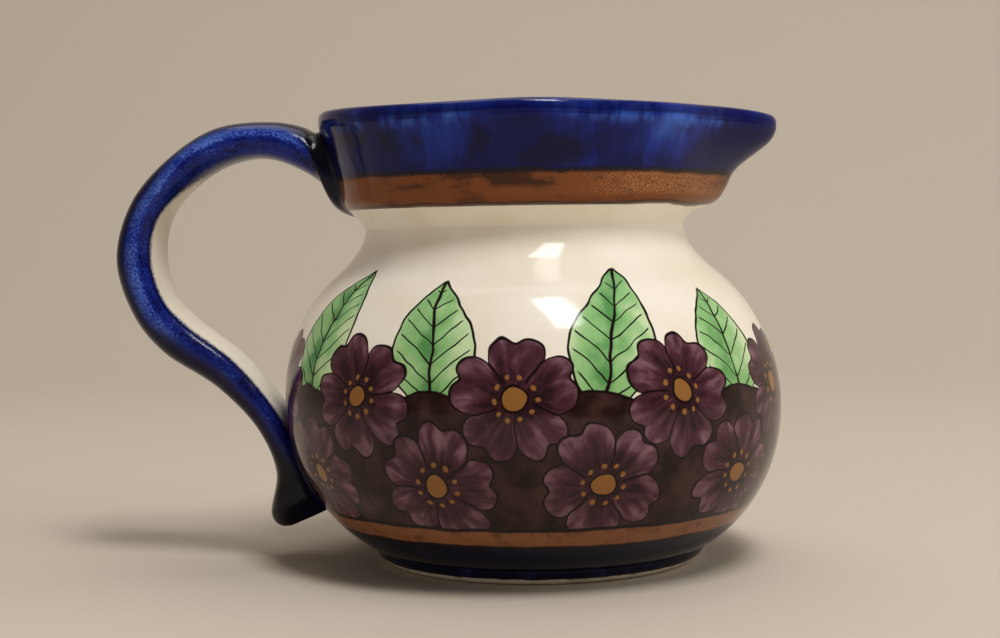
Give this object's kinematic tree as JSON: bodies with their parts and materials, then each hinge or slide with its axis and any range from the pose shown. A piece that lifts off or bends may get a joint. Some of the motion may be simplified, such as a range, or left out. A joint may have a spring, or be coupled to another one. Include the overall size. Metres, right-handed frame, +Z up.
{
  "type": "cream jug",
  "caption": "Round-bellied glazed cream jug with a flared collar drawn out into a pouring lip, a looped strap handle and a low foot ring.",
  "frame": {"origin": "middle of the jug's outline, on the table it stands on", "axes": "+Z up, +X towards the pouring lip, with the handle along -X"},
  "size_m": [0.1234, 0.0914, 0.082],
  "materials": {
    "belly_glaze": "glossy cream glaze over a painted border",
    "foot_clay": "dark glaze outside, bare fired clay underneath",
    "neck_glaze": "glossy cream glaze",
    "collar_glaze": "glossy brushed cobalt glaze over a rust-brown band",
    "handle_glaze": "glossy mottled cobalt glaze, cream on the inside of the loop"
  },
  "bodies": {
    "root": {"belly": "belly_glaze", "foot_ring": "foot_clay", "neck_slip": "neck_glaze", "collar": "collar_glaze", "handle": "handle_glaze", "handle_top_slip": "handle_glaze", "handle_tail_slip": "handle_glaze"}
  },
  "joints": []
}
